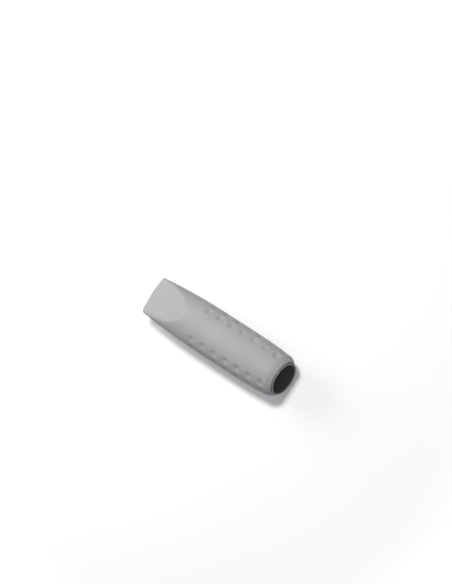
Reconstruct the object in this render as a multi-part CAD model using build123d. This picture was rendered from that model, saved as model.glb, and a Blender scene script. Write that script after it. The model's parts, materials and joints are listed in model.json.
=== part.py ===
from build123d import *
import os
from math import cos, radians, sin, sqrt

# Pencil eraser topper: a moulded eraser with a chisel tip and a socket lined by a thin, gripping sleeve.
# The socket runs along X. The sleeve's mouth is at the origin and faces +X, the way out of the socket.
# The chisel tip points to -X, with its edge along Y. Sizes are in millimetres, angles in degrees.

# Sleeve: a ribbed tube that lines the socket, its end standing proud of the eraser's mouth
PENCIL_DIAMETER = 7.6
SLEEVE_WALL = 0.4
SLEEVE_LENGTH = 26.4
SLEEVE_PROUD = 0.4
SLEEVE_BEVEL = 0.12
SLEEVE_FIT = 0.05

# Saw-tooth ribs on the sleeve that key into the eraser
RIB_COUNT = 3
RIB_HEIGHT = 0.3
RIB_LENGTH = 1.6
RIB_PITCH = 5.0

# Eraser barrel: straight in the middle, drawn in along an arc towards the mouth and the tip
ERASER_LENGTH = 41.5
BARREL_WALL = 1.51
STRAIGHT_LENGTH = 11.5
MOUTH_TAPER_LENGTH = 11.0
MOUTH_TAPER = 0.56
TIP_TAPER = 0.96

# Mouth of the eraser: a bevel with a rounded shoulder, down to a narrow flat end relieved around the sleeve
MOUTH_BEVEL = 1.2
MOUTH_FACE = 0.16
MOUTH_RELIEF_SHARE = 0.6
SHOULDER_ROUND = 1.4

# Chisel tip, with its rounding as a share of its edge's thickness
FACET_LENGTH = 13.5
EDGE_THICKNESS = 1.6
EDGE_CROWN = 0.4
EDGE_ROUND_SHARE = 0.44

# Grip dimples, in pairs of rows: a pair on each side of the top and one underneath
DIMPLE_DIAMETER = 1.9
DIMPLE_DEPTH = 0.32
DIMPLE_PITCH = 3.57
DIMPLES_IN_ROW = 7
FIRST_DIMPLE_FROM_MOUTH = 2.55
SIDE_PAIR_ANGLE = 57.0
UNDERSIDE_PAIR_ANGLE = 180.0
ROW_ANGLE_FROM_PAIR = 13.5

# Worked out from the sizes above
bore_radius = PENCIL_DIAMETER / 2
sleeve_radius = bore_radius + SLEEVE_WALL
socket_radius = sleeve_radius + SLEEVE_FIT
barrel_radius = socket_radius + BARREL_WALL
tip_radius = barrel_radius - TIP_TAPER
tip_taper_start = MOUTH_TAPER_LENGTH + STRAIGHT_LENGTH
tip_taper_length = ERASER_LENGTH - tip_taper_start
edge_round = EDGE_ROUND_SHARE * EDGE_THICKNESS
mouth_relief = MOUTH_RELIEF_SHARE * MOUTH_FACE


def arc_radius(run, drop):
    """Radius of an arc that starts level and has dropped by a height after a run."""
    return (run**2 + drop**2) / (2 * drop)


def arc_drop(run, drop, distance):
    """How far that same arc has dropped after another distance."""
    radius = arc_radius(run, drop)
    return radius - sqrt(radius**2 - distance**2)


def radius_at(from_mouth):
    """Outside radius of the eraser, before its ends are cut, at a distance from its mouth."""
    if from_mouth < MOUTH_TAPER_LENGTH:
        return barrel_radius - arc_drop(MOUTH_TAPER_LENGTH, MOUTH_TAPER, MOUTH_TAPER_LENGTH - from_mouth)
    if from_mouth > tip_taper_start:
        return barrel_radius - arc_drop(tip_taper_length, TIP_TAPER, from_mouth - tip_taper_start)
    return barrel_radius


def turned(profile):
    """Solid of revolution about X of a profile drawn as distance along X and radius."""
    return revolve(Plane.XZ * profile, Axis.X)


def ribbed_plug(radius):
    """Outside of the sleeve at a radius, with its ribs, as a solid plug from the mouth inwards."""
    first_rib = (SLEEVE_LENGTH - (RIB_COUNT - 1) * RIB_PITCH - RIB_LENGTH) / 2
    points = [(0, 0), (0, radius)]
    for index in range(RIB_COUNT):
        crest = -(first_rib + index * RIB_PITCH)
        points += [(crest, radius), (crest, radius + RIB_HEIGHT), (crest - RIB_LENGTH, radius)]
    points += [(-SLEEVE_LENGTH, radius), (-SLEEVE_LENGTH, 0)]
    return turned(make_face(Polyline(*points, close=True)))


def mouth_circles(piece):
    """Circles around the end of a piece that faces +X, from the smallest to the largest."""
    return piece.edges().filter_by(GeomType.CIRCLE).group_by(Axis.X)[-1].sort_by(SortBy.RADIUS)


def make_sleeve():
    """Thin sleeve that lines the socket: a tube with ribs on its outside and a bevelled mouth."""
    bore = Pos(X=-SLEEVE_LENGTH / 2) * Rot(Y=90) * Cylinder(bore_radius, SLEEVE_LENGTH)
    tube = ribbed_plug(sleeve_radius) - bore
    return chamfer(mouth_circles(tube)[-1], SLEEVE_BEVEL)


def make_barrel():
    """Solid barrel with its bevelled mouth, run on past the tip for the tip cuts to trim."""
    barrel_end = ERASER_LENGTH + EDGE_CROWN
    face_edge = (0, socket_radius + MOUTH_FACE)
    shoulder = (-MOUTH_BEVEL, radius_at(MOUTH_BEVEL))
    straight_start = (-MOUTH_TAPER_LENGTH, barrel_radius)
    straight_end = (-tip_taper_start, barrel_radius)
    end = (-barrel_end, radius_at(barrel_end))
    outline = [
        Polyline((0, 0), face_edge, shoulder),
        TangentArc(straight_start, shoulder, tangent=(1, 0)),
        Line(straight_start, straight_end),
        TangentArc(straight_end, end, tangent=(-1, 0)),
        Polyline(end, (-barrel_end, 0), (0, 0)),
    ]
    profile = make_face(outline)
    shoulder_corner = profile.vertices().sort_by_distance(shoulder)[0]
    return turned(fillet(shoulder_corner, SHOULDER_ROUND))


def chisel_wedge():
    """Wedge along Y between the two facets, EDGE_THICKNESS thick at the tip."""
    half_edge = EDGE_THICKNESS / 2
    slope = (radius_at(ERASER_LENGTH - FACET_LENGTH) - half_edge) / FACET_LENGTH
    apex = -(ERASER_LENGTH + half_edge / slope)
    mouth_height = -apex * slope
    section = make_face(Polyline((apex, 0), (0, mouth_height), (0, -mouth_height), close=True))
    return extrude(Plane.XZ * section, barrel_radius, both=True)


def crown_prism():
    """Plan outline of the eraser: square at the mouth, bowed out by EDGE_CROWN across the tip."""
    corner = arc_drop(tip_radius, EDGE_CROWN, barrel_radius) - ERASER_LENGTH
    outline = [
        ThreePointArc((corner, -barrel_radius), (-ERASER_LENGTH, 0), (corner, barrel_radius)),
        Polyline((corner, barrel_radius), (0, barrel_radius), (0, -barrel_radius), (corner, -barrel_radius)),
    ]
    return extrude(make_face(outline), barrel_radius, both=True)


def round_tip(tip):
    """The chisel tip with the edges of its facets and of its bowed end rounded."""
    facet_start = FACET_LENGTH - ERASER_LENGTH
    tip_edges = tip.edges().filter_by(lambda edge: edge.center().X < facet_start + edge_round)
    return fillet(tip_edges, edge_round)


def dimple_row(angle):
    """Ball cutters for one row of dimples, at an angle from the top, sunk DIMPLE_DEPTH into the barrel."""
    ball_radius = arc_radius(DIMPLE_DIAMETER / 2, DIMPLE_DEPTH)
    cutters = []
    for index in range(DIMPLES_IN_ROW):
        from_mouth = FIRST_DIMPLE_FROM_MOUTH + index * DIMPLE_PITCH
        centre = radius_at(from_mouth) - DIMPLE_DEPTH + ball_radius
        place = Pos(-from_mouth, centre * sin(radians(angle)), centre * cos(radians(angle)))
        cutters.append(place * Sphere(ball_radius))
    return cutters


def make_eraser():
    """Moulded eraser with its tip, dimples and blind socket, set back behind the sleeve's mouth."""
    body = round_tip(make_barrel() & chisel_wedge() & crown_prism())
    for pair_angle in (-SIDE_PAIR_ANGLE, SIDE_PAIR_ANGLE, UNDERSIDE_PAIR_ANGLE):
        body -= dimple_row(pair_angle - ROW_ANGLE_FROM_PAIR)
        body -= dimple_row(pair_angle + ROW_ANGLE_FROM_PAIR)
    eraser = Pos(X=-SLEEVE_PROUD) * body - ribbed_plug(socket_radius)
    return chamfer(mouth_circles(eraser)[0], mouth_relief)


os.makedirs("parts", exist_ok=True)
export_step(make_eraser(), "parts/eraser_body.step")
export_step(make_sleeve(), "parts/pencil_sleeve.step")
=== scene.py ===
"""Looks of a pencil eraser topper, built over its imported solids.

The socket runs along X, with its mouth at the origin and facing +X. The chisel tip points to -X with
its edge along Y. Sizes in the classes are in millimetres and degrees; Blender gets metres and radians.
"""

import json
import logging
import math
from dataclasses import dataclass, fields
from enum import Enum
from typing import Any

import bpy
from mathutils import Matrix, Vector


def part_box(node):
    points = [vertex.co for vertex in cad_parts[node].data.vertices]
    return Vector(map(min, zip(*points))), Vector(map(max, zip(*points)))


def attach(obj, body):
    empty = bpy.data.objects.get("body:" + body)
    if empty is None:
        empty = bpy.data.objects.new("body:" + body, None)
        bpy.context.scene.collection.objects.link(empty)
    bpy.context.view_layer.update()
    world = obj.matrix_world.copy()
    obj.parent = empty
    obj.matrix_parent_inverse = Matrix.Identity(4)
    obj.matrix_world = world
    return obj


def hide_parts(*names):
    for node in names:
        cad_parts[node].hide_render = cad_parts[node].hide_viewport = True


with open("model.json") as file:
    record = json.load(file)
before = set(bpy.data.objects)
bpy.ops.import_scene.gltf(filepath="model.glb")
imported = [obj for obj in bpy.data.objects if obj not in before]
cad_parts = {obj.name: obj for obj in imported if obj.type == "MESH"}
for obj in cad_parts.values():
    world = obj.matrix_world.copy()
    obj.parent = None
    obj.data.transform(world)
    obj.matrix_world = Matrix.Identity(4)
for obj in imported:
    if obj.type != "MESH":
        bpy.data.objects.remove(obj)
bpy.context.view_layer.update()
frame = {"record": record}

MM = 0.001
BODY = "root"
WHITE = (1.0, 1.0, 1.0, 1.0)
# A Mix node repeats its sockets' names for each kind of data, so its colours go by number
MIX_FIRST = 6
MIX_SECOND = 7
MIX_RESULT = 2
# Kind of socket that takes each kind of value into a Geometry Nodes tree
SOCKET_KINDS = {
    int: "NodeSocketInt",
    float: "NodeSocketFloat",
    bpy.types.Material: "NodeSocketMaterial",
}

log = logging.getLogger("topper")


class Slot(Enum):
    """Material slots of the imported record."""

    ERASER = "eraser_rubber"
    SLEEVE = "sleeve_plastic"


def linear(hex_colour: str) -> tuple[float, float, float, float]:
    """Turn an sRGB hex colour to linear RGBA.

    Args:
        hex_colour: Six hex digits, red first.

    Returns:
        Linear red, green, blue and an alpha of 1.
    """
    channels = []
    for start in (0, 2, 4):
        value = int(hex_colour[start:start + 2], 16) / 255
        # The sRGB curve has a short straight start and is a power after it
        channels.append(value / 12.92 if value <= 0.04045 else ((value + 0.055) / 1.055) ** 2.4)
    return (*channels, 1.0)


def per_metre(size: float) -> float:
    """How many patterns of a real size in millimetres go into a metre."""
    return 1 / (size * MM)


def add_node(
    tree: bpy.types.NodeTree, kind: str, links: dict[Any, Any] | None = None, **settings: Any
) -> bpy.types.Node:
    """Add one node to a tree.

    Args:
        tree: Tree that gets the node.
        kind: Blender's name for the kind of node.
        links: Sockets, fields or plain values for the node's inputs, by name or number.
        settings: Properties of the node.

    Returns:
        The new node.
    """
    node = tree.nodes.new(kind)
    for name, value in settings.items():
        setattr(node, name, value)
    for key, value in (links or {}).items():
        source = value.socket if isinstance(value, Field) else value
        if isinstance(source, bpy.types.NodeSocket):
            tree.links.new(source, node.inputs[key])
        else:
            node.inputs[key].default_value = source
    return node


class Field:
    """A number that a node tree works out at every point, with the usual arithmetic."""

    def __init__(self, tree: bpy.types.NodeTree, socket: bpy.types.NodeSocket) -> None:
        """Keep the tree and the socket that gives the number."""
        self.tree = tree
        self.socket = socket

    def by(self, operation: str, *others: "Number") -> "Field":
        """Work out another number from this one.

        Args:
            operation: Blender's name for the sum, such as SINE or MINIMUM.
            others: The other numbers that the sum needs.

        Returns:
            The result as a field.
        """
        terms = dict(enumerate((self, *others)))
        node = add_node(self.tree, "ShaderNodeMath", terms, operation=operation)
        return Field(self.tree, node.outputs[0])

    def __add__(self, other: "Number") -> "Field":
        """This number plus another."""
        return self.by("ADD", other)

    def __sub__(self, other: "Number") -> "Field":
        """This number less another."""
        return self.by("SUBTRACT", other)

    def __mul__(self, other: "Number") -> "Field":
        """This number times another."""
        return self.by("MULTIPLY", other)

    def __truediv__(self, other: "Number") -> "Field":
        """This number over another, or zero where the other is zero."""
        return self.by("DIVIDE", other)


Number = Field | float


@dataclass(frozen=True)
class Finish:
    """A finish of two close tones with a fine relief, both drawn by a pattern that a subclass gives.

    Attributes:
        name: Name of the material.
        pale: Tone where the pattern is palest.
        deep: Tone where it is deepest.
        relief: Depth of the relief.
        roughness: Roughness in the relief's hollows and on its crests.
        ior: Index of refraction.
        mirroring: Strength of the mirror-like gloss, where 0.5 is what the index gives.
    """

    name: str
    pale: str
    deep: str
    relief: float
    roughness: tuple[float, float]
    ior: float
    mirroring: float

    def pattern(self, tree: bpy.types.NodeTree, place: bpy.types.NodeSocket) -> tuple[Field, Field]:
        """Draw the pattern.

        Args:
            tree: The material's tree.
            place: Object coordinates.

        Returns:
            How pale the surface is and how high its relief stands, each from 0 to 1.
        """
        raise NotImplementedError

    def material(self) -> bpy.types.Material:
        """Make the material.

        Returns:
            A material on Object coordinates.
        """
        made = bpy.data.materials.new(self.name)
        made.use_nodes = True
        tree = made.node_tree
        place = add_node(tree, "ShaderNodeTexCoord").outputs["Object"]
        paleness, height = self.pattern(tree, place)
        tones = {"Factor": paleness, MIX_FIRST: linear(self.deep), MIX_SECOND: linear(self.pale)}
        tone = add_node(tree, "ShaderNodeMix", tones, data_type="RGBA")
        gloss = add_node(tree, "ShaderNodeMapRange", {
            "Value": height, "To Min": self.roughness[0], "To Max": self.roughness[1]})
        bump = add_node(tree, "ShaderNodeBump", {
            "Strength": 1.0, "Distance": self.relief * MM, "Height": height})
        shader = tree.nodes["Principled BSDF"]
        shader.inputs["IOR"].default_value = self.ior
        shader.inputs["Specular IOR Level"].default_value = self.mirroring
        tree.links.new(tone.outputs[MIX_RESULT], shader.inputs["Base Color"])
        tree.links.new(gloss.outputs[0], shader.inputs["Roughness"])
        tree.links.new(bump.outputs[0], shader.inputs["Normal"])
        return made


@dataclass(frozen=True)
class EraserRubber(Finish):
    """Moulded eraser rubber, filled with fine powder."""

    # It looks soft and dry: an even neutral grey, faintly cloudy, with a fine grain and hardly any shine
    name: str = "moulded_eraser_rubber"
    pale: str = "BBBCBC"
    deep: str = "A8A9A9"
    relief: float = 0.01
    roughness: tuple[float, float] = (0.58, 0.7)
    ior: float = 1.5
    mirroring: float = 0.35
    # Clouds come from uneven mixing
    cloud_size: float = 7.0
    cloud_detail: float = 3.0
    cloud_roughness: float = 0.55
    # Real grain is near 0.05 mm; it is drawn at 0.25 mm so that it shows
    grain_size: float = 0.25
    grain_detail: float = 2.0
    grain_roughness: float = 0.6
    grain_share: float = 0.4

    def pattern(self, tree: bpy.types.NodeTree, place: bpy.types.NodeSocket) -> tuple[Field, Field]:
        """Draw the grain over the clouds.

        Args:
            tree: The material's tree.
            place: Object coordinates.

        Returns:
            The clouds and the grain together, and the grain alone.
        """
        clouds = add_node(tree, "ShaderNodeTexNoise", {
            "Vector": place, "Scale": per_metre(self.cloud_size),
            "Detail": self.cloud_detail, "Roughness": self.cloud_roughness})
        grain = add_node(tree, "ShaderNodeTexNoise", {
            "Vector": place, "Scale": per_metre(self.grain_size),
            "Detail": self.grain_detail, "Roughness": self.grain_roughness})
        height = Field(tree, grain.outputs["Fac"])
        paleness = Field(tree, clouds.outputs["Fac"]) * (1 - self.grain_share) + height * self.grain_share
        return paleness, height


@dataclass(frozen=True)
class SleevePlastic(Finish):
    """Polypropylene, extruded as a thin tube."""

    # It looks satin and a little waxy, darker than the rubber, with faint draw lines along its length
    name: str = "extruded_polypropylene"
    pale: str = "767879"
    deep: str = "6A6C6D"
    relief: float = 0.004
    roughness: tuple[float, float] = (0.34, 0.46)
    ior: float = 1.49
    mirroring: float = 0.5
    # Draw lines are finer than this on a real tube; they are 0.3 mm apart so that they show
    line_spacing: float = 0.3
    line_length: float = 12.0
    line_detail: float = 2.0

    def pattern(self, tree: bpy.types.NodeTree, place: bpy.types.NodeSocket) -> tuple[Field, Field]:
        """Draw the lines, drawn out along X.

        Args:
            tree: The material's tree.
            place: Object coordinates.

        Returns:
            The lines, for the tone and for the relief.
        """
        across = per_metre(self.line_spacing)
        along = per_metre(self.line_length)
        drawn = add_node(tree, "ShaderNodeMapping", {"Vector": place, "Scale": (along, across, across)})
        lines = add_node(tree, "ShaderNodeTexNoise", {
            "Vector": drawn.outputs[0], "Scale": 1.0, "Detail": self.line_detail})
        height = Field(tree, lines.outputs["Fac"])
        return height, height


@dataclass(frozen=True)
class Ring:
    """One ring of a turned piece.

    Attributes:
        x: Place along the socket's axis.
        radius: Radius of the ring.
        half_height: Height of the facets over the axis, or the radius where there are none.
        edge_round: Rounding of the facets' long edges.
        dimpled: 1 where dimples may be pressed in, otherwise 0.
        bow_share: Share of the tip's bow that the ring takes.
        openness: 1 for an open ring, 0 for one closed to a line across the tip.
    """

    x: float
    radius: float
    half_height: float
    edge_round: float = 0.0
    dimpled: float = 0.0
    bow_share: float = 0.0
    openness: float = 1.0


# The ring's values that are not lengths
RING_SHARES = ("dimpled", "bow_share", "openness")
# Fewest steps that a rounded corner of an outline is drawn in
LEAST_ARC_STEPS = 3


def plain_rings(points: list[tuple[float, float]]) -> list[Ring]:
    """Round rings for a list of places along X and radii."""
    return [Ring(x, radius, radius) for x, radius in points]


def rounded_path(corners: list[tuple[float, float, float]], step: float) -> list[tuple[float, float]]:
    """Follow straight runs between corners, with the corners rounded.

    Args:
        corners: Place along X, radius and rounding of each corner.
        step: Longest distance between two points on a run or an arc.

    Returns:
        Points along the path as places along X and radii.
    """
    bends = []
    for index, (x, radius, rounding) in enumerate(corners):
        here = Vector((x, radius))
        if rounding == 0 or index in (0, len(corners) - 1):
            bends.append([here])
            continue
        before = (Vector(corners[index - 1][:2]) - here).normalized()
        after = (Vector(corners[index + 1][:2]) - here).normalized()
        half_angle = before.angle(after) / 2
        middle = here + (before + after).normalized() * (rounding / math.sin(half_angle))
        start = here + before * (rounding / math.tan(half_angle)) - middle
        end = here + after * (rounding / math.tan(half_angle)) - middle
        count = max(LEAST_ARC_STEPS, math.ceil(rounding * start.angle(end) / step))
        spokes = [start.normalized().slerp(end.normalized(), part / count) for part in range(count + 1)]
        bends.append([middle + spoke * rounding for spoke in spokes])
    path = []
    for bend in bends:
        if path:
            run = bend[0] - path[-1]
            count = max(1, math.ceil(run.length / step))
            path += [path[-1] + run * (part / count) for part in range(1, count)]
        path += bend
    return [(point.x, point.y) for point in path]


@dataclass(frozen=True)
class Socket:
    """Sizes that the eraser and the sleeve share, where the one lines the other.

    Attributes:
        bore_radius: Radius of the sleeve's bore.
        length: Length of the sleeve, from its mouth to the socket's floor.
        wall: Thickness of the sleeve.
        proud: How far the sleeve stands out of the eraser.
        clearance: Gap between the sleeve and the eraser.
        rib_count: Number of saw-tooth ribs that key the sleeve into the eraser.
        rib_height: Height of a rib.
        rib_length: Length of a rib.
        rib_pitch: Distance from one rib to the next.
    """

    bore_radius: float
    length: float
    wall: float = 0.4
    proud: float = 0.4
    clearance: float = 0.05
    rib_count: int = 3
    rib_height: float = 0.3
    rib_length: float = 1.6
    rib_pitch: float = 5.0

    @property
    def sleeve_radius(self) -> float:
        """Outside radius of the sleeve."""
        return self.bore_radius + self.wall

    @property
    def hole_radius(self) -> float:
        """Radius of the eraser's hole for the sleeve."""
        return self.sleeve_radius + self.clearance

    def ribs(self, radius: float) -> list[tuple[float, float, float]]:
        """Corners of the ribs over a plain radius.

        Args:
            radius: Radius between the ribs.

        Returns:
            Place along X, radius and rounding of each corner, from the mouth inwards.
        """
        first = (self.length - (self.rib_count - 1) * self.rib_pitch - self.rib_length) / 2
        corners = []
        for index in range(self.rib_count):
            crest = -(first + index * self.rib_pitch)
            corners.append((crest, radius, 0.0))
            corners.append((crest, radius + self.rib_height, 0.0))
            corners.append((crest - self.rib_length, radius, 0.0))
        return corners


@dataclass
class TurnedPiece:
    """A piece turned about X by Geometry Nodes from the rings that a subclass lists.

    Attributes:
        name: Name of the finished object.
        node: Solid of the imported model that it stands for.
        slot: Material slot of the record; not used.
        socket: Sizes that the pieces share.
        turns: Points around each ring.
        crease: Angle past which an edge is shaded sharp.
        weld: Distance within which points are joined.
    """

    name: str
    node: str
    slot: Slot
    socket: Socket
    turns: int = 240
    crease: float = 38.0
    weld: float = 0.001

    def rings(self) -> list[Ring]:
        """List the rings along the piece's outline, in order."""
        raise NotImplementedError

    def finish(self) -> Finish:
        """Choose the finish that the piece is dressed in."""
        raise NotImplementedError

    def sizes(self) -> dict[str, float]:
        """Name the extra sizes that the piece's own rule reads, in metres and radians."""
        return {}

    def shape(
        self, ring: dict[str, Field], quarter: Field, size: dict[str, Field]
    ) -> tuple[Field, Field, Field]:
        """Place the points of a ring: a plain circle, unless a subclass has its own rule.

        Args:
            ring: The ring's values at each point, by name.
            quarter: Place around the ring in quarters, from the top by way of -Y.
            size: The piece's own sizes, by name.

        Returns:
            Place along x, y and z.
        """
        angle = quarter * (-math.pi / 2)
        return ring["x"], ring["radius"] * angle.by("SINE"), ring["radius"] * angle.by("COSINE")

    def outline(self) -> bpy.types.Object:
        """Draw the rings' outline as an edge mesh that carries each ring's values.

        Returns:
            An object with one vertex for each ring.
        """
        rings = self.rings()
        mesh = bpy.data.meshes.new(self.name + "_outline")
        places = [(0.0, 0.0, 0.0)] * len(rings)
        mesh.from_pydata(places, [(index, index + 1) for index in range(len(rings) - 1)], [])
        for value in fields(Ring):
            scale = 1.0 if value.name in RING_SHARES else MM
            attribute = mesh.attributes.new(value.name, "FLOAT", "POINT")
            attribute.data.foreach_set("value", [getattr(ring, value.name) * scale for ring in rings])
        outline = bpy.data.objects.new(self.name, mesh)
        bpy.context.scene.collection.objects.link(outline)
        return outline

    def ring_values(
        self, tree: bpy.types.NodeTree, outline: bpy.types.NodeSocket, row: Field
    ) -> dict[str, Field]:
        """Look up the values of the ring that each point belongs to.

        Args:
            tree: Tree that turns the outline.
            outline: The outline's geometry.
            row: Number of the ring.

        Returns:
            The ring's values, by name.
        """
        ring = {}
        for value in fields(Ring):
            read = add_node(tree, "GeometryNodeInputNamedAttribute", {"Name": value.name}, data_type="FLOAT")
            sources = {"Geometry": outline, "Value": read.outputs[0], "Index": row}
            found = add_node(tree, "GeometryNodeSampleIndex", sources, data_type="FLOAT", domain="POINT")
            ring[value.name] = Field(tree, found.outputs[0])
        return ring

    def turning_tree(self, inputs: dict[str, Any]) -> bpy.types.NodeTree:
        """Build the tree that turns the outline into a closed skin.

        Args:
            inputs: Value of each named input.

        Returns:
            A Geometry Nodes tree with those inputs.
        """
        tree = bpy.data.node_groups.new(self.name + "_turning", "GeometryNodeTree")
        tree.interface.new_socket("Geometry", in_out="INPUT", socket_type="NodeSocketGeometry")
        for name, value in inputs.items():
            tree.interface.new_socket(name, in_out="INPUT", socket_type=SOCKET_KINDS[type(value)])
        tree.interface.new_socket("Geometry", in_out="OUTPUT", socket_type="NodeSocketGeometry")
        given = add_node(tree, "NodeGroupInput").outputs
        size = {name: Field(tree, given[name]) for name in self.sizes()}
        turns = Field(tree, given["Turns"])

        # A flat grid with one row of points for each ring, where the last point of a row meets the first
        points = turns + 1.0
        count = add_node(tree, "GeometryNodeAttributeDomainSize", {"Geometry": given["Geometry"]})
        grid = add_node(tree, "GeometryNodeMeshGrid", {
            "Vertices X": count.outputs["Point Count"], "Vertices Y": points})
        index = Field(tree, add_node(tree, "GeometryNodeInputIndex").outputs[0])
        # Half a point keeps a row's first point clear of rounding errors
        row = ((index + 0.5) / points).by("FLOOR")
        quarter = (index - row * points) / turns * 4.0

        # The points take their places, and the seam and the ends close
        x, y, z = self.shape(self.ring_values(tree, given["Geometry"], row), quarter, size)
        place = add_node(tree, "ShaderNodeCombineXYZ", {"X": x, "Y": y, "Z": z})
        skin = add_node(tree, "GeometryNodeSetPosition", {
            "Geometry": grid.outputs["Mesh"], "Position": place.outputs[0]})
        closed = add_node(tree, "GeometryNodeMergeByDistance", {
            "Geometry": skin.outputs[0], "Distance": given["Weld"]})
        fold = Field(tree, add_node(tree, "GeometryNodeInputMeshEdgeAngle").outputs[0])
        soft = fold.by("LESS_THAN", Field(tree, given["Crease"]))
        smooth = add_node(tree, "GeometryNodeSetShadeSmooth", {
            "Geometry": closed.outputs[0], "Shade Smooth": soft}, domain="EDGE")
        whole = add_node(tree, "GeometryNodeRealizeInstances", {"Geometry": smooth.outputs[0]})
        dressed = add_node(tree, "GeometryNodeSetMaterial", {
            "Geometry": whole.outputs[0], "Material": given["Material"]})
        add_node(tree, "NodeGroupOutput", {"Geometry": dressed.outputs[0]})
        return tree

    def build(self) -> bpy.types.Object:
        """Turn the outline into a plain mesh.

        Returns:
            The finished object, at the origin.
        """
        piece = self.outline()
        outline = piece.data
        inputs = {
            "Turns": self.turns,
            "Crease": math.radians(self.crease),
            "Weld": self.weld * MM,
            "Material": self.finish().material(),
            **self.sizes(),
        }
        tree = self.turning_tree(inputs)
        turning = piece.modifiers.new("turning", "NODES")
        turning.node_group = tree
        for socket in tree.interface.items_tree:
            if socket.name in inputs:
                turning[socket.identifier] = inputs[socket.name]
        ready = piece.evaluated_get(bpy.context.evaluated_depsgraph_get())
        piece.data = bpy.data.meshes.new_from_object(ready)
        piece.data.name = self.name
        # The grid brings an empty slot ahead of the material's own
        piece.data.materials.pop(index=0)
        piece.modifiers.remove(turning)
        bpy.data.meshes.remove(outline)
        bpy.data.node_groups.remove(tree)
        return piece

    def place(self) -> bpy.types.Object:
        """Build the piece and set it on the body in place of its solid.

        Returns:
            The finished object.
        """
        piece = self.build()
        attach(piece, BODY)
        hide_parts(self.node)
        return piece


@dataclass
class PencilSleeve(TurnedPiece):
    """Thin gripping tube that lines the socket, its rounded end proud of the eraser.

    Attributes:
        turns: Points around each ring, fewer than on the wider eraser.
        lip_round: Rounding of the edges at the mouth.
        step: Longest distance between two rings.
    """

    turns: int = 160
    lip_round: float = 0.13
    step: float = 0.4

    def rings(self) -> list[Ring]:
        """List the rings round the tube's wall, from the bore's inner end and back to it."""
        socket = self.socket
        inner_end = (-socket.length, socket.bore_radius, 0.0)
        corners = [
            inner_end,
            (0.0, socket.bore_radius, self.lip_round),
            (0.0, socket.sleeve_radius, self.lip_round),
            *socket.ribs(socket.sleeve_radius),
            (-socket.length, socket.sleeve_radius, 0.0),
            inner_end,
        ]
        return plain_rings(rounded_path(corners, self.step))

    def finish(self) -> Finish:
        """Dress the tube in satin plastic."""
        return SleevePlastic()


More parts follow.
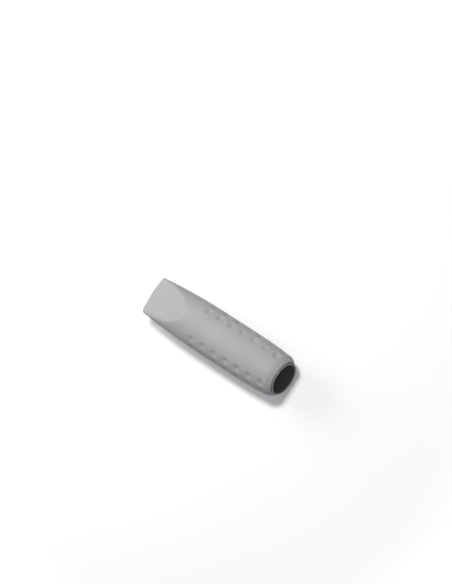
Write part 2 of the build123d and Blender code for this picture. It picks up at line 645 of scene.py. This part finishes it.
@dataclass
class EraserBody(TurnedPiece):
    """Moulded eraser: a barrel with dimples, a chisel tip and a blind socket for the sleeve."""

    # Barrel, straight in the middle and drawn in along an arc towards the mouth and the tip
    length: float = 41.5
    barrel_wall: float = 1.51
    mouth_taper_length: float = 11.0
    mouth_taper: float = 0.56
    straight_length: float = 11.5
    tip_taper: float = 0.96
    # Mouth, bevelled down to a narrow flat end that is relieved around the sleeve
    mouth_bevel: float = 1.2
    mouth_face: float = 0.16
    mouth_relief: float = 0.096
    shoulder_round: float = 1.4
    shoulder_reach: float = 2.0
    edge_softness: float = 0.03
    # Chisel tip, with its edges rounded more towards the barrel, and a flat strip left between them
    facet_length: float = 13.5
    edge_thickness: float = 1.6
    edge_crown: float = 0.4
    edge_flat: float = 0.2
    nose_round: float = 0.7
    side_round: float = 1.6
    facet_blend: float = 0.5
    bow_reach: float = 4.0
    # Dimples, in pairs of rows on each side of the top and underneath
    dimple_diameter: float = 1.9
    dimple_depth: float = 0.32
    dimple_pitch: float = 3.57
    dimples_in_row: int = 7
    first_dimple: float = 2.55
    side_pair_angle: float = 57.0
    underside_pair_angle: float = 180.0
    row_angle_from_pair: float = 13.5
    rim_softness: float = 0.28
    # Spacing of the rings
    step: float = 0.14
    socket_step: float = 1.5
    nose_steps: int = 8

    @property
    def barrel_radius(self) -> float:
        """Radius of the barrel's straight middle."""
        return self.socket.hole_radius + self.barrel_wall

    def radius_at(self, from_mouth: float) -> float:
        """Outside radius of the barrel.

        Args:
            from_mouth: Distance from the eraser's mouth.

        Returns:
            The radius before the mouth is bevelled and the tip is cut.
        """
        tip_taper_start = self.mouth_taper_length + self.straight_length
        if from_mouth < self.mouth_taper_length:
            run = self.mouth_taper_length
            drop = self.mouth_taper
            distance = self.mouth_taper_length - from_mouth
        else:
            run = self.length - tip_taper_start
            drop = self.tip_taper
            distance = max(0.0, from_mouth - tip_taper_start)
        arc = (run**2 + drop**2) / (2 * drop)
        return self.barrel_radius - arc + math.sqrt(arc**2 - distance**2)

    def facet_slope(self) -> float:
        """Rise of a facet for each millimetre towards the mouth."""
        start = self.radius_at(self.length - self.facet_length)
        return (start - self.edge_thickness / 2) / self.facet_length

    def outside_ring(self, from_mouth: float, inset: float = 0.0, openness: float = 1.0) -> Ring:
        """One ring of the barrel or the tip.

        Args:
            from_mouth: Distance from the eraser's mouth.
            inset: How far the ring is drawn in all round, at the rounded end of the tip.
            openness: 1 for an open ring, 0 for one closed to a line.

        Returns:
            The ring with its facets' height and rounding.
        """
        radius = self.radius_at(from_mouth)
        to_tip = self.length - from_mouth
        facet = self.edge_thickness / 2 + self.facet_slope() * to_tip
        # The facets run softly into the barrel where they end, by a cubic smooth minimum
        overlap = max(0.0, self.facet_blend - abs(radius - facet)) / self.facet_blend
        half_height = min(radius, facet) - overlap**3 * self.facet_blend / 6
        share = min(1.0, to_tip / self.facet_length)
        edge_round = self.nose_round + (self.side_round - self.nose_round) * share
        return Ring(
            x=-self.socket.proud - from_mouth,
            radius=radius - inset,
            half_height=half_height - inset,
            edge_round=max(0.0, min(edge_round, half_height - self.edge_flat / 2) - inset),
            dimpled=1.0,
            bow_share=max(0.0, 1 - to_tip / self.bow_reach),
            openness=openness)

    def inside_rings(self) -> list[Ring]:
        """List the rings from the middle of the socket's floor to the mouth's relief."""
        socket = self.socket
        wall = socket.hole_radius
        corners = [
            (-socket.length, 0.0, 0.0),
            (-socket.length, wall, 0.0),
            *reversed(socket.ribs(wall)),
            (-socket.proud - self.mouth_relief, wall, 0.0),
        ]
        return plain_rings(rounded_path(corners, self.socket_step))

    def mouth_rings(self) -> list[Ring]:
        """List the rings over the mouth's end and its rounded shoulder, after the relief's inner edge."""
        mouth = -self.socket.proud
        wall = self.socket.hole_radius
        bevel_end = self.mouth_bevel + self.shoulder_reach
        corners = [
            (mouth - self.mouth_relief, wall, 0.0),
            (mouth, wall + self.mouth_relief, 0.0),
            (mouth, wall + self.mouth_face, self.edge_softness),
            (mouth - self.mouth_bevel, self.radius_at(self.mouth_bevel), self.shoulder_round),
            (mouth - bevel_end, self.radius_at(bevel_end), 0.0),
        ]
        path = rounded_path(corners, self.step)[1:]
        return [Ring(x, radius, radius, dimpled=1.0) for x, radius in path]

    def outside_rings(self) -> list[Ring]:
        """List the rings along the barrel and round the tip's end, after the shoulder."""
        start = self.mouth_bevel + self.shoulder_reach
        end = self.length - self.nose_round
        count = math.ceil((end - start) / self.step)
        rings = [self.outside_ring(start + (end - start) * part / count) for part in range(1, count + 1)]
        for part in range(1, self.nose_steps + 1):
            angle = math.pi / 2 * part / self.nose_steps
            inset = self.nose_round * (1 - math.cos(angle))
            rings.append(self.outside_ring(end + self.nose_round * math.sin(angle), inset))
        rings.append(self.outside_ring(self.length, self.nose_round, openness=0.0))
        return rings

    def rings(self) -> list[Ring]:
        """List the rings from the middle of the socket's floor, out of the mouth and along to the tip."""
        return self.inside_rings() + self.mouth_rings() + self.outside_rings()

    def finish(self) -> Finish:
        """Dress the eraser in moulded rubber."""
        return EraserRubber()

    def sizes(self) -> dict[str, float]:
        """Name the sizes of the dimples and of the tip's bow, in metres and radians."""
        return {
            "Dimple Radius": self.dimple_diameter / 2 * MM,
            "Dimple Depth": self.dimple_depth * MM,
            "Dimple Pitch": self.dimple_pitch * MM,
            "Last Dimple": float(self.dimples_in_row - 1),
            "First Dimple": (self.socket.proud + self.first_dimple) * MM,
            "Side Pair": math.radians(self.side_pair_angle),
            "Underside Pair": math.radians(self.underside_pair_angle),
            "Row From Pair": math.radians(self.row_angle_from_pair),
            "Rim Softness": self.rim_softness * MM,
            "Edge Crown": self.edge_crown * MM,
            "Tip Radius": (self.barrel_radius - self.tip_taper) * MM,
            "Facet Slope": self.facet_slope(),
        }

    def shape(
        self, ring: dict[str, Field], quarter: Field, size: dict[str, Field]
    ) -> tuple[Field, Field, Field]:
        """Place the points of a ring: flat facets with rounded edges, dimples, and the bow of the tip.

        Args:
            ring: The ring's values at each point, by name.
            quarter: Place around the ring in quarters, from the top by way of -Y.
            size: The piece's own sizes, by name.

        Returns:
            Place along x, y and z.
        """
        radius = ring["radius"]
        rounding = ring["edge_round"]
        # Each quarter is half a facet, then the rounded edge, then the rest of the round side
        core = ring["half_height"] - rounding
        flat = ((radius - rounding).by("POWER", 2.0) - core.by("POWER", 2.0)).by("MAXIMUM", 0.0).by("SQRT")
        turn = flat.by("ARCTAN2", core)
        edge = rounding * turn
        travel = (flat + edge - radius * turn + radius * (math.pi / 2)) * quarter.by("PINGPONG", 1.0)
        on_edge = ((travel - flat) / rounding).by("MAXIMUM", 0.0).by("MINIMUM", turn)
        on_side = (travel - flat - edge).by("MAXIMUM", 0.0) / radius + turn
        across = (
            travel.by("MINIMUM", flat) + rounding * on_edge.by("SINE")
            + radius * (on_side.by("SINE") - turn.by("SINE")))
        up = core + rounding * on_edge.by("COSINE") + radius * (on_side.by("COSINE") - turn.by("COSINE"))

        # Distance to the middle of the nearest dimple, as a share of its radius and squared
        angle = quarter.by("PINGPONG", 2.0) * (math.pi / 2)
        to_side = (angle - size["Side Pair"]).by("ABSOLUTE") - size["Row From Pair"]
        to_under = (angle - size["Underside Pair"]).by("ABSOLUTE") - size["Row From Pair"]
        to_row = to_side.by("ABSOLUTE").by("MINIMUM", to_under.by("ABSOLUTE")) * radius
        along = ring["x"] * -1.0 - size["First Dimple"]
        nearest = (along / size["Dimple Pitch"]).by("ROUND")
        in_row = nearest.by("MAXIMUM", 0.0).by("MINIMUM", size["Last Dimple"])
        to_dimple = along - in_row * size["Dimple Pitch"]
        away = (to_row.by("POWER", 2.0) + to_dimple.by("POWER", 2.0)) / size["Dimple Radius"].by("POWER", 2.0)
        bowl = (away * -1.0 + 1.0) * size["Dimple Depth"]
        pressed = bowl.by("SMOOTH_MAX", 0.0, size["Rim Softness"]) * ring["dimpled"]
        drawn_in = (pressed / radius) * -1.0 + 1.0

        # The tip's end is bowed, and the facets stay flat under it
        bow = (across / size["Tip Radius"]).by("POWER", 2.0) * size["Edge Crown"] * ring["bow_share"]
        lift = bow * size["Facet Slope"] / ring["half_height"] + 1.0
        right = (quarter - 2.0).by("SIGN")
        top = ((quarter - 2.0).by("ABSOLUTE") - 1.0).by("SIGN")
        return (
            ring["x"] + bow,
            across * drawn_in * right,
            up * drawn_in * lift * top * ring["openness"])


@dataclass(frozen=True)
class Lamp:
    """A square soft lamp.

    Attributes:
        name: Name of the lamp.
        direction: Where it hangs, seen from what it lights.
        distance: How far away it hangs.
        width: Width of the lamp.
        power: Power in watts.
    """

    name: str
    direction: tuple[float, float, float]
    distance: float
    width: float
    power: float

    def hang(self, target: Vector) -> None:
        """Hang the lamp so that it faces a point and isn't seen by the camera.

        Args:
            target: The point.
        """
        data = bpy.data.lights.new(self.name, "AREA")
        data.size = self.width * MM
        data.energy = self.power
        lamp = bpy.data.objects.new(self.name, data)
        toward = Vector(self.direction).normalized()
        turn = toward.to_track_quat("Z", "Y").to_matrix().to_4x4()
        lamp.matrix_world = Matrix.Translation((target + toward * self.distance) * MM) @ turn
        lamp.visible_camera = False
        bpy.context.scene.collection.objects.link(lamp)


@dataclass
class Studio:
    """Plain pale floor, soft light and a camera at the photograph's viewing angle.

    Attributes:
        middle: Middle of the eraser.
        floor_height: Height of the floor that the barrel lies on.
        picture: Width and height of the picture in pixels.
        pixels_per_mm: Scale of the picture at the object.
        middle_pixel: Where the middle of the eraser falls in the picture.
        axis_tilt: Angle between the line of sight and the socket's axis.
        axis_run: Direction of +X in the picture, right and down.
        lens: Focal length of the camera, long so that the picture has hardly any perspective.
        sensor: Width of the camera's sensor.
        near_clip: Distance from the camera where its sight starts.
        floor_span: Width of the floor.
        floor_bounce: Colour of the floor as it lights the object.
        floor_glow: Light that the floor gives off where it is seen, so that it shows white.
        floor_fade: Distances from the middle between which that light rises to full white.
        surround: Strength of the light from all round.
        lamps: The lamps.
    """

    middle: Vector
    floor_height: float
    picture: tuple[int, int] = (452, 584)
    pixels_per_mm: float = 4.25
    middle_pixel: tuple[float, float] = (217.04, 335.95)
    axis_tilt: float = 61.7
    axis_run: tuple[float, float] = (0.8422, 0.5392)
    lens: float = 300.0
    sensor: float = 36.0
    near_clip: float = 10.0
    floor_span: float = 3000.0
    floor_bounce: str = "9EA8B5"
    floor_glow: float = 0.135
    floor_fade: tuple[float, float] = (60.0, 140.0)
    surround: float = 0.02
    lamps: tuple[Lamp, ...] = (
        Lamp("tip_side", (-1.2, 0.0, 0.7), distance=130.0, width=100.0, power=0.077),
        Lamp("overhead", (0.0, 0.25, 1.0), distance=600.0, width=120.0, power=2.26),
        Lamp("mouth_side", (1.3, 0.0, 0.7), distance=900.0, width=1000.0, power=1.95),
        Lamp("near_side", (0.0, -1.1, 0.7), distance=900.0, width=1000.0, power=0.85),
    )

    def camera(self) -> None:
        """Set up the camera so that the eraser falls where it is in the picture."""
        tilt = math.radians(self.axis_tilt)
        back = Vector((math.cos(tilt), 0, math.sin(tilt)))
        run = Vector((math.sin(tilt), 0, -math.cos(tilt)))
        side = Vector((0, 1, 0))
        right = run * self.axis_run[0] + side * self.axis_run[1]
        up = side * self.axis_run[0] - run * self.axis_run[1]
        distance = self.lens / self.sensor * self.picture[1] / self.pixels_per_mm
        aside = (self.picture[0] / 2 - self.middle_pixel[0]) / self.pixels_per_mm
        above = (self.middle_pixel[1] - self.picture[1] / 2) / self.pixels_per_mm
        target = self.middle + right * aside + up * above
        data = bpy.data.cameras.new("camera")
        data.lens = self.lens
        data.sensor_width = self.sensor
        data.sensor_fit = "AUTO"
        data.clip_start = self.near_clip * MM
        camera = bpy.data.objects.new("camera", data)
        turn = Matrix((right, up, back)).transposed().to_4x4()
        camera.matrix_world = Matrix.Translation((target + back * distance) * MM) @ turn
        bpy.context.scene.collection.objects.link(camera)
        bpy.context.scene.camera = camera

    def seen(self, tree: bpy.types.NodeTree) -> Field:
        """Tell the rays that show the background from those that light the object.

        Args:
            tree: Tree of the floor or the surround.

        Returns:
            1 for a ray from the camera or a mirror-like or clear surface, otherwise 0.
        """
        path = add_node(tree, "ShaderNodeLightPath").outputs
        glossy = Field(tree, path["Is Glossy Ray"])
        clear = Field(tree, path["Is Transmission Ray"])
        return Field(tree, path["Is Camera Ray"]).by("MAXIMUM", glossy).by("MAXIMUM", clear)

    def world(self) -> None:
        """Set the faint light from all round, with a white background where it is seen."""
        world = bpy.data.worlds.new("soft_surround")
        world.use_nodes = True
        tree = world.node_tree
        tree.nodes.clear()
        faint = add_node(tree, "ShaderNodeBackground", {"Color": WHITE, "Strength": self.surround})
        white = add_node(tree, "ShaderNodeBackground", {"Color": WHITE, "Strength": 1.0})
        both = add_node(tree, "ShaderNodeMixShader", {
            0: self.seen(tree), 1: faint.outputs[0], 2: white.outputs[0]})
        add_node(tree, "ShaderNodeOutputWorld", {"Surface": both.outputs[0]})
        bpy.context.scene.world = world

    def floor(self) -> None:
        """Lay the pale floor, which shows white around the object's shadow."""
        half = self.floor_span / 2 * MM
        level = self.floor_height * MM
        mesh = bpy.data.meshes.new("floor")
        mesh.from_pydata(
            [(-half, -half, level), (half, -half, level), (half, half, level), (-half, half, level)],
            [], [(0, 1, 2, 3)])
        floor = bpy.data.objects.new("floor", mesh)
        bpy.context.scene.collection.objects.link(floor)
        pale = bpy.data.materials.new("pale_floor")
        pale.use_nodes = True
        tree = pale.node_tree
        tree.nodes.clear()
        seen = self.seen(tree)
        tones = {"Factor": seen, MIX_FIRST: linear(self.floor_bounce), MIX_SECOND: WHITE}
        tone = add_node(tree, "ShaderNodeMix", tones, data_type="RGBA")
        matte = add_node(tree, "ShaderNodeBsdfDiffuse", {"Color": tone.outputs[MIX_RESULT]})
        # The lamps fall off away from the object, and the floor's own light takes over there
        place = add_node(tree, "ShaderNodeTexCoord").outputs["Object"]
        far = add_node(tree, "ShaderNodeVectorMath", {0: place, 1: self.middle * MM}, operation="DISTANCE")
        light = add_node(tree, "ShaderNodeMapRange", {
            "Value": far.outputs["Value"],
            "From Min": self.floor_fade[0] * MM, "From Max": self.floor_fade[1] * MM,
            "To Min": self.floor_glow, "To Max": 1.0}, interpolation_type="SMOOTHSTEP")
        strength = seen * Field(tree, light.outputs[0])
        glow = add_node(tree, "ShaderNodeEmission", {"Color": WHITE, "Strength": strength})
        both = add_node(tree, "ShaderNodeAddShader", {0: matte.outputs[0], 1: glow.outputs[0]})
        add_node(tree, "ShaderNodeOutputMaterial", {"Surface": both.outputs[0]})
        mesh.materials.append(pale)

    def build(self) -> None:
        """Set up the camera, the light and the floor."""
        bpy.context.scene.view_settings.view_transform = "Standard"
        self.camera()
        for lamp in self.lamps:
            lamp.hang(self.middle)
        self.world()
        self.floor()


def main() -> None:
    """Build the studio and the pieces in order, and report each piece."""
    logging.basicConfig(level=logging.INFO, format="%(name)s: %(message)s")
    lowest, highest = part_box("eraser_body")
    Studio((lowest + highest) / 2 / MM, lowest.z / MM).build()
    bore = frame["record"]["mounts"][0]["dims"]
    socket = Socket(bore["r_mm"], bore["length_mm"])
    pieces = [
        EraserBody("eraser_body_skin", "eraser_body", Slot.ERASER, socket),
        PencilSleeve("pencil_sleeve_skin", "pencil_sleeve", Slot.SLEEVE, socket),
    ]
    for piece in pieces:
        skin = piece.place()
        log.info("%s: %d faces of %s", skin.name, len(skin.data.polygons), skin.active_material.name)


if __name__ == "__main__":
    main()
